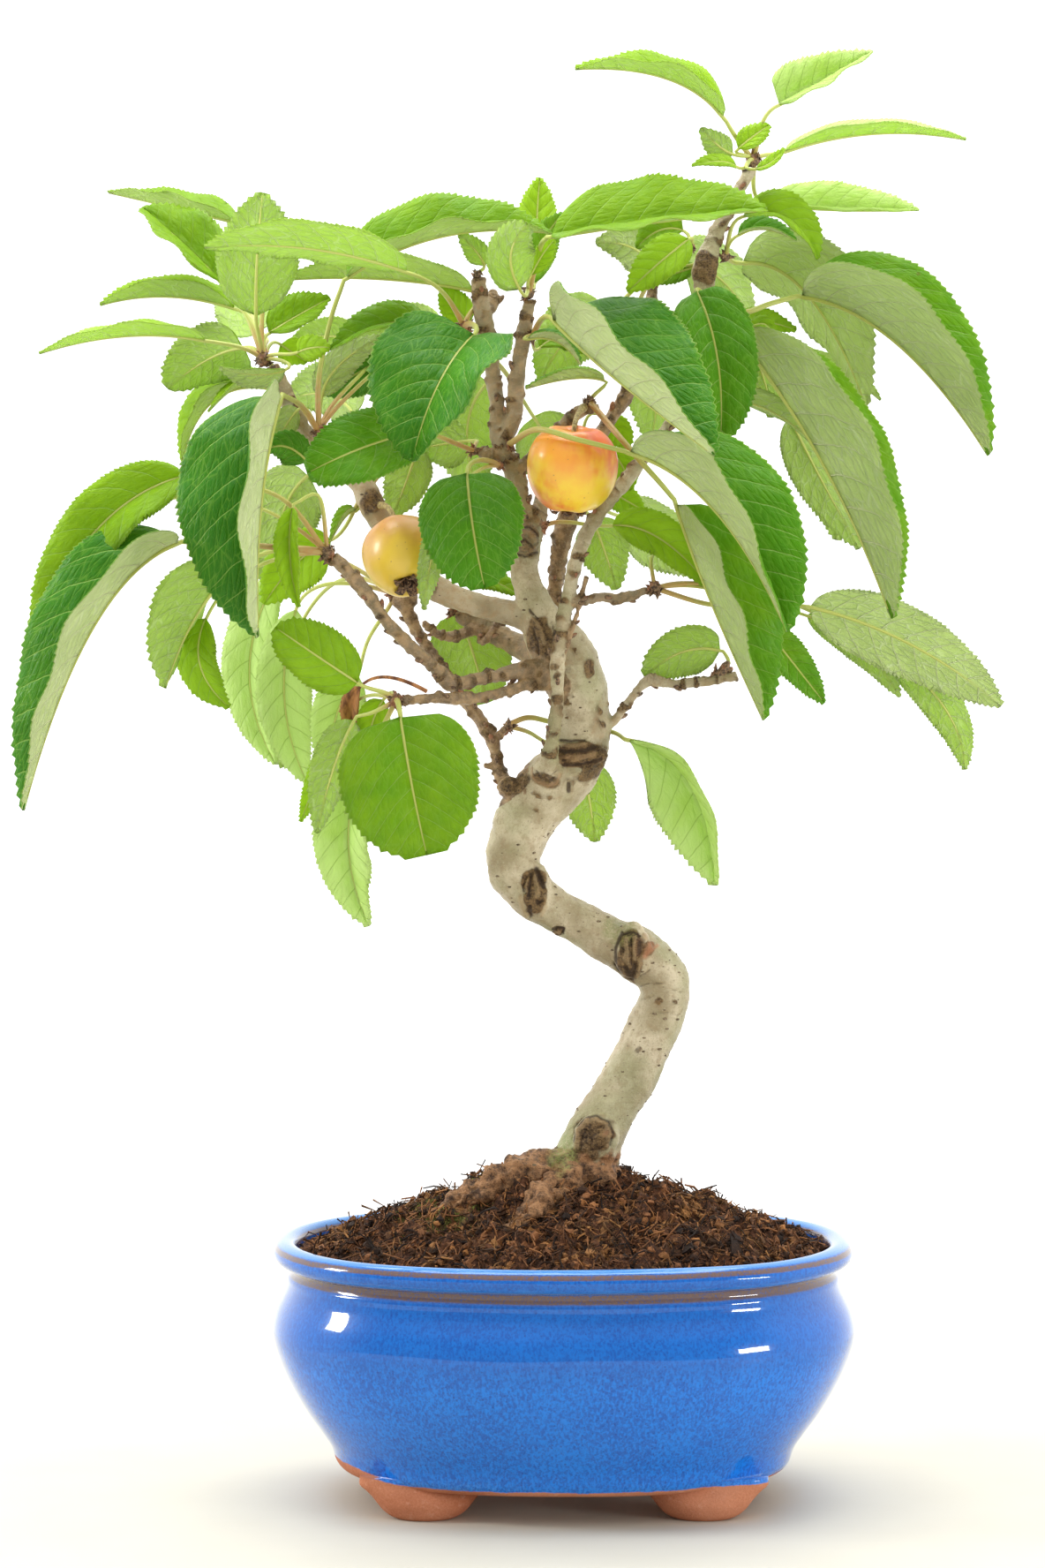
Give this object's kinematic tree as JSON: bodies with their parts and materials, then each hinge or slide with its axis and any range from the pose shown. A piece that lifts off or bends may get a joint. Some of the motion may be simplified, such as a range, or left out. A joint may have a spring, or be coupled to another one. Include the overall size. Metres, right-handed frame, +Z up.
{
  "type": "crabapple bonsai",
  "caption": "Small crabapple tree with a winding trunk, drooping toothed leaves and little yellow apples, growing from heaped soil in an oval blue glazed pot on short feet.",
  "frame": {"origin": "on the surface that the pot stands on, under the middle of the whole plant's reach", "axes": "+Z up, +X to the right as seen from the tree's front, +Y away from that viewer"},
  "size_m": [0.3354, 0.189, 0.4988],
  "materials": {
    "pot_glaze": "glossy cobalt glaze over terracotta, bare on the feet",
    "soil": "loose, fibrous and matt",
    "bark": "smooth pale bark with small pores and knots",
    "apple_skin": "smooth waxy skin with a red blush",
    "leaf": "thin living leaf, glossy above and downy below",
    "withered_leaf": "dry and matt"
  },
  "bodies": {
    "root": {"pot": "pot_glaze", "soil": "soil", "trunk_and_branches": "bark", "apple_right": "apple_skin", "apple_left": "apple_skin", "leaves_left_tip": "leaf", "leaves_left_shoot": "leaf", "leaves_left_leader": "leaf", "leaf_left_leader_top": "leaf", "leaves_middle_top": "leaf", "leaves_middle": "leaf", "leaves_behind_top": "leaf", "leaves_right_knob": "leaf", "leaves_left_of_knob": "leaf", "leaves_right": "leaf", "leaves_right_low": "leaf", "leaves_top": "leaf", "leaf_over_apple": "leaf", "leaves_left_stub": "leaf", "leaves_left_apple": "leaf", "leaves_right_apple": "leaf", "leaf_low_right": "leaf", "leaves_side_twig": "leaf", "leaf_right_twig": "leaf", "leaf_trunk_right": "leaf", "leaf_trunk_back": "leaf", "leaves_behind_stem": "leaf", "leaves_far_left": "leaf", "leaves_low_left": "leaf", "leaves_left_spur": "leaf", "leaves_behind_leader": "leaf", "leaves_behind_right": "leaf", "leaves_behind_branch": "leaf", "leaves_dead_spur": "leaf", "withered_leaf": "withered_leaf"}
  },
  "joints": []
}
